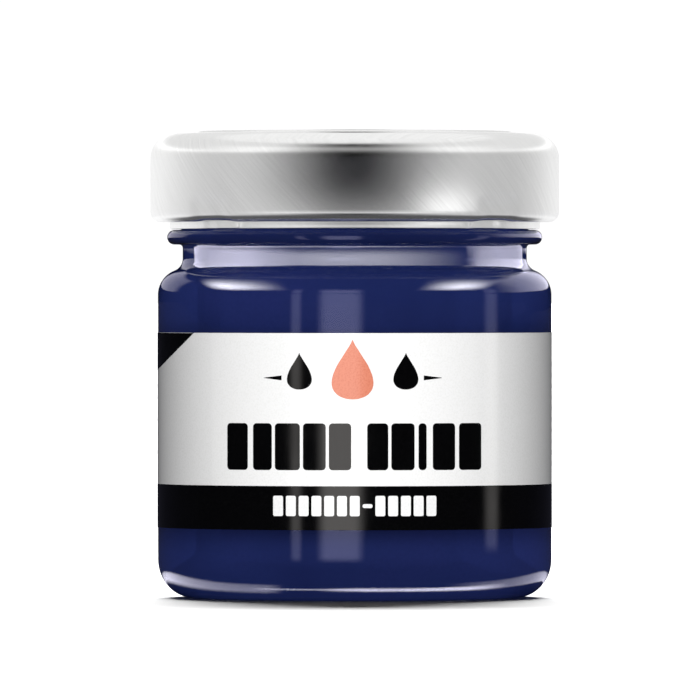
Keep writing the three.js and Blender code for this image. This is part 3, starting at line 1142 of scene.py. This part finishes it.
collar_card("left_neck_pane", 0, (-18.1, -7.0), 39.8, 4.6, (0.04, 0.6, 0.15), 0.25)
collar_card("left_neck_glow", 1, (-17.4, -5.0), 39.7, 10.0, (0.6, 0.5, 0.45), 0.25)
collar_card("right_neck_pane", 2, (12.6, 18.9), 39.8, 2.4, (0.08, 0.04, 0.25), 0.25)
collar_card("right_neck_glow", 3, (12.4, 18.6), 39.8, 4.4, (0.2, 0.75, 0.35), 0.25)
collar_card("neck_band", 4, (-13.0, 13.6), 39.6, 8.4, (0.35, 0.5, 0.75), tint=PALE_LAVENDER)

# The bright room behind the empty neck, when the lid is off
upright_card("room_behind_neck", (-180, 180), TENT_R, (43.0, 70.0), 0.95, glass_group, WHITE,
             (0.0, 0.0, 0.1, 0.3), through=True)

# Light from the floor in the rounded base
FLOOR_CARD_Z = 0.1
FLOOR_CARD_STEP = 0.02
FLOOR_FLARES = (2.0, 6.0)
for layer, (name, azimuths, radii, radiance, fades, torn) in enumerate((
        ("floor_gleam", (-14, 62), (20.7, 21.8), 13.0, (0.26, 0.42, 0.4, 0.5), 0.0),
        ("floor_left", (-150, -23), (20.3, 22.6), 3.0, (0.5, 0.06, 0.3, 0.35), 0.15),
        ("floor_right", (28, 150), (21.0, 22.8), 1.7, (0.15, 0.4, 0.1, 0.35), 0.15),
        ("floor_link", (-38, 8), (21.0, 21.5), 6.0, (0.35, 0.3, 0.4, 0.4), 0.0))):
    z = FLOOR_CARD_Z + layer * FLOOR_CARD_STEP
    card(name, azimuths, (radii[0], z), (radii[1], z), radiance, glass_group, LAVENDER, fades, torn,
         FLOOR_FLARES)

# Soft boxes mirrored by the lid: bright sides and top round a dark middle
LID_TENT_R = 45.0
LID_EDGE_R = 45.5
LID_FRONT_R = 44.5
LID_SPOT_R = 44.0
LID_RIM_RADII = (43.5, 43.6)
TENT_SIDE = (20.0, 64.0)
TENT_HIGH = (56.0, 95.0)
TENT_RIM = (57.0, 76.0)
LID_FOOT_Z = 41.9
spot_azimuths = [on_tent(x, LID_R, 44.4, LID_SPOT_R)[0] for x in (4.8, 15.0)]
for name, azimuths, radius, heights, radiance, fades in (
        ("left_lid_side", (-172, -2), LID_TENT_R, TENT_SIDE, 0.66, (0.06, 0.3, 0.2, 0.1)),
        ("right_lid_side", (2, 172), LID_TENT_R, TENT_SIDE, 0.6, (0.3, 0.06, 0.2, 0.1)),
        ("left_lid_edge", (-171, -62), LID_EDGE_R, TENT_SIDE, 0.36, (0.06, 0.5, 0.2, 0.1)),
        ("right_lid_edge", (75, 171), LID_EDGE_R, TENT_SIDE, 0.36, (0.5, 0.06, 0.2, 0.1)),
        ("left_lid_high", (-178, -4), LID_TENT_R, TENT_HIGH, 0.88, (0.04, 0.25, 0.2, 0.0)),
        ("right_lid_high", (5, 178), LID_TENT_R, TENT_HIGH, 0.88, (0.25, 0.04, 0.2, 0.0)),
        ("left_lid_rim", (-90, 30), LID_RIM_RADII[0], TENT_RIM, 0.36, (0.5, 0.45, 0.4, 0.5)),
        ("right_lid_rim", (-30, 90), LID_RIM_RADII[1], TENT_RIM, 0.36, (0.45, 0.5, 0.4, 0.5)),
        ("lid_low_front", (-60, 60), LID_FRONT_R, (32.0, 47.0), 0.75, (0.35, 0.35, 0.35, 0.6)),
        ("lid_spot", spot_azimuths, LID_SPOT_R, (41.6, 46.8), 1.1, (0.5,) * 4)):
    upright_card(name, azimuths, radius, heights, radiance, lid_group, fades=fades)
card("lid_top", (-180, 180), (LID_TENT_R, TENT_HIGH[1]), (0.0, TENT_HIGH[1]), 1.04, lid_group,
     fades=(0.0,) * 4)
card("lid_foot", (-178, 178), (21.6, LID_FOOT_Z), (26.0, LID_FOOT_Z), 0.09, lid_group,
     fades=(0.0, 0.0, 0.2, 0.5))


def lamp(name, azimuth, elevation, width, height, radiance, group, distance=600.0):
    """A soft box that shades the pieces of a group without being mirrored in them. It spans width
    and height degrees as seen from the jar."""
    data = bpy.data.lights.new(name, "AREA")
    data.shape = "RECTANGLE"
    data.size = 2 * distance * MM * math.tan(math.radians(width / 2))
    data.size_y = 2 * distance * MM * math.tan(math.radians(height / 2))
    data.energy = math.pi * radiance * data.size * data.size_y
    box = new_object(name, data)
    turn, lift = math.radians(azimuth), math.radians(elevation)
    away = Vector((math.sin(turn) * math.cos(lift), -math.cos(turn) * math.cos(lift), math.sin(lift)))
    box.location = Vector((0.0, 0.0, 28.0 * MM)) + away * distance * MM
    box.rotation_mode = "QUATERNION"
    box.rotation_quaternion = away.to_track_quat("Z", "Y")
    box.visible_camera = False
    box.visible_glossy = False
    box.visible_transmission = False
    box.light_linking.receiver_collection = group
    box.light_linking.blocker_collection = blockers


lamp("front_fill", 0, 10, 70, 50, 3.9, soft_lit_group)
lamp("top_fill", 0, 82, 60, 60, 1.2, soft_lit_group)
lamp("back_fill", 180, 12, 62, 50, 3.6, soft_lit_group)
for azimuth in (-100, 100):
    lamp("paint_side_fill", azimuth, 0, 70, 70, 3.4, glass_group)
lamp("paint_under_fill", 0, -50, 80, 70, 2.4, glass_group)


STUDIO_FLOOR_Z = -0.02
STUDIO_FLOOR_HALF = 15000.0


def make_floor():
    """A pale floor. Only the camera sees it pale, so it doesn't wash out the glass's reflections."""
    half = STUDIO_FLOOR_HALF
    corners = [(-half, -half, 0.0), (half, -half, 0.0), (half, half, 0.0), (-half, half, 0.0)]
    mesh = new_mesh("floor", corners, [(0, 1, 2, 3)])
    floor = new_object("floor", mesh)
    floor.location.z = STUDIO_FLOOR_Z * MM
    look = Look("floor_paper")
    seen = add_node(look.tree, "LightPath").outputs["Is Camera Ray"]
    fibres = look.noise(40.0, 4.0)
    pale = look.ramp(fibres, (0.3, 0.45), (0.7, 0.48))
    look.feed("Base Color", look.blend(seen, (0.004, 0.004, 0.006), pale))
    look.plain(Roughness=0.9, Specular_IOR_Level=0.0)
    mesh.materials.append(look.material)
    return floor


# The floor's own sun, behind the jar, so the floor is white and a soft shadow falls forwards
SUN_WIDTH = math.radians(44)
SUN_STRENGTH = 19.0
SUN_LEAN = math.radians(-47)
floor_group = group_of("floor_side", make_floor())
sun_data = bpy.data.lights.new("floor_sun", "SUN")
sun_data.angle = SUN_WIDTH
sun_data.energy = SUN_STRENGTH
sun = new_object("floor_sun", sun_data)
sun.rotation_euler = (SUN_LEAN, 0.0, 0.0)
sun.visible_glossy = False
sun.light_linking.receiver_collection = floor_group

# White to the camera, a dim room to diffuse shading, and dark in reflections
ROOM_TO_CAMERA = 1.05
ROOM_TO_DIFFUSE = 0.05
ROOM_TO_ALL = 0.002
world = bpy.data.worlds.new("studio")
bpy.context.scene.world = world
world.use_nodes = True
tree = world.node_tree
path = add_node(tree, "LightPath").outputs
white = joined(tree, "MULTIPLY", path["Is Camera Ray"], ROOM_TO_CAMERA)
room = joined(tree, "MULTIPLY", path["Is Diffuse Ray"], ROOM_TO_DIFFUSE)
strength = joined(tree, "ADD", joined(tree, "MAXIMUM", white, room), ROOM_TO_ALL)
tree.links.new(strength, tree.nodes["Background"].inputs["Strength"])
tree.nodes["Background"].inputs["Color"].default_value = (1.0, 1.0, 1.0, 1.0)
